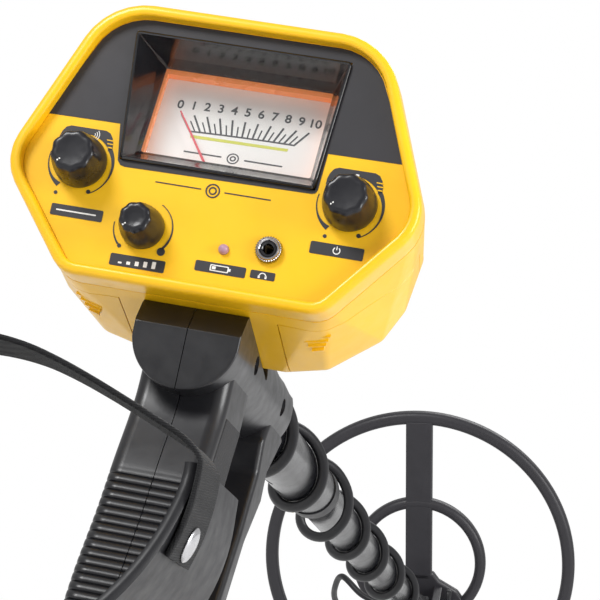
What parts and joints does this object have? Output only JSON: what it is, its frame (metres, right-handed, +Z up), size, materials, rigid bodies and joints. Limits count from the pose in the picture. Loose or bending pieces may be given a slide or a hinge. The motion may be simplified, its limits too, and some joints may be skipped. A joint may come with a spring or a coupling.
{
  "type": "metal detector",
  "caption": "Hand-held metal detector with a yellow meter box, pistol grip, strapped arm rest, telescopic stem and an open ring search coil.",
  "frame": {"origin": "centre of the flat rubber sole under the handle", "axes": "+Y along the ground from the arm rest to the search coil, +Z up, +X to the operator's right"},
  "size_m": [0.2151, 1.1387, 0.2635],
  "materials": {
    "yellow_plastic": "satin moulded yellow plastic",
    "panel_yellow": "printed panel, yellow and charcoal",
    "black_plastic": "textured black plastic",
    "gloss_black": "glossy black plastic",
    "tube_black": "satin black powder coat",
    "coil_grey": "dark grey moulded plastic",
    "clear": "clear",
    "dial_white": "printed white dial",
    "needle_red": "red paint",
    "steel": "plated steel",
    "copper": "enamelled copper wire",
    "board_green": "green circuit board",
    "cell_blue": "printed battery sleeve",
    "led_pink": "unlit diffused lens",
    "leather_black": "leather-grain soft insert",
    "rubber": "matt rubber",
    "webbing": "woven black webbing",
    "cream": "cream button",
    "cable_black": "smooth black cable sheath"
  },
  "bodies": {
    "housing": {"front_bezel": "yellow_plastic", "rear_shell": "yellow_plastic", "front_panel": "panel_yellow", "meter_hood": "gloss_black", "meter_case": "black_plastic", "meter_lens": "clear", "meter_dial": "dial_white", "meter_movement": "steel", "disc_pot": "black_plastic", "volume_pot": "black_plastic", "sens_pot": "black_plastic", "pot_nuts": "steel", "earphone_jack": "gloss_black", "jack_nut": "steel", "low_battery_led": "led_pink", "circuit_board": "board_green", "speaker": "black_plastic", "battery_left": "cell_blue", "battery_right": "cell_blue", "battery_clip_left": "black_plastic", "battery_clip_right": "black_plastic", "case_screws": "steel", "cable_gland": "rubber", "handle_left": "black_plastic", "handle_right": "black_plastic", "grip_insert_left": "leather_black", "grip_insert_right": "leather_black", "handle_screws": "steel", "rubber_foot": "rubber", "arm_support": "black_plastic", "arm_cuff": "black_plastic", "cuff_bolts": "steel", "cuff_nuts": "steel", "cuff_strap": "webbing", "strap_rivets": "steel", "stem_upper_tube": "tube_black", "stem_collar": "black_plastic", "coil_cable": "cable_black"},
    "disc_control": {"disc_knob": "gloss_black", "disc_shaft": "steel"},
    "volume_control": {"volume_knob": "gloss_black", "volume_shaft": "steel"},
    "sens_control": {"sens_knob": "gloss_black", "sens_shaft": "steel"},
    "needle": {"meter_needle": "needle_red"},
    "door_left": {"battery_door_left": "yellow_plastic"},
    "door_right": {"battery_door_right": "yellow_plastic"},
    "stem_lower": {"stem_lower_tube": "tube_black", "stem_end": "black_plastic", "cable_tie": "black_plastic", "snap_spring": "steel", "coil_lead": "cable_black"},
    "button": {"snap_button": "cream"},
    "coil": {"coil_upper_shell": "coil_grey", "coil_lower_shell": "coil_grey", "transmit_winding": "copper", "receive_winding": "copper", "coil_gland": "black_plastic", "hinge_bolt": "black_plastic"},
    "wing": {"wing_nut": "black_plastic"}
  },
  "joints": [
    {"name": "disc_turn", "type": "hinge", "parent": "housing", "child": "disc_control", "pos_m": [-0.0467, 0.00556, 0.20563], "axis": [0, 0.9952, -0.0976], "range_deg": [0, 300]},
    {"name": "volume_turn", "type": "hinge", "parent": "housing", "child": "volume_control", "pos_m": [-0.0206, 0.00371, 0.18672], "axis": [0, 0.9952, -0.0976], "range_deg": [0, 300]},
    {"name": "sens_turn", "type": "hinge", "parent": "housing", "child": "sens_control", "pos_m": [0.0467, 0.00556, 0.20563], "axis": [0, 0.9952, -0.0976], "range_deg": [0, 300]},
    {"name": "needle_swing", "type": "hinge", "parent": "housing", "child": "needle", "pos_m": [0.001, 0.02215, 0.20147], "axis": [0, 0.9317, -0.3633], "range_deg": [0, 70], "stiffness_Nm_per_rad": 0.0005, "springref_deg": -17.19},
    {"name": "door_left_slide", "type": "slide", "parent": "housing", "child": "door_left", "axis": [0, 0.9952, -0.0976], "range_m": [0, 0.05]},
    {"name": "door_right_slide", "type": "slide", "parent": "housing", "child": "door_right", "axis": [0, 0.9952, -0.0976], "range_m": [0, 0.05]},
    {"name": "stem_slide", "type": "slide", "parent": "housing", "child": "stem_lower", "axis": [0, 0.9952, -0.0976], "range_m": [-0.15, 0], "deforming": ["coil_cable"]},
    {"name": "snap_button_press", "type": "slide", "parent": "stem_lower", "child": "button", "axis": [-0.5, -0.0845, -0.8619], "range_m": [-0.004, 0], "stiffness_N_per_m": 400, "springref_m": 0.003, "deforming": ["snap_spring"]},
    {"name": "coil_tilt", "type": "hinge", "parent": "stem_lower", "child": "coil", "pos_m": [0, 0.86618, 0.06739], "axis": [0.9898, 0.0139, 0.1419], "range_deg": [-100, 60], "deforming": ["coil_lead"]},
    {"name": "wing_nut_turn", "type": "hinge", "parent": "coil", "child": "wing", "pos_m": [0.02277, 0.8665, 0.07065], "axis": [0.9898, 0.0139, 0.1419], "range_deg": [-180, 180]}
  ]
}
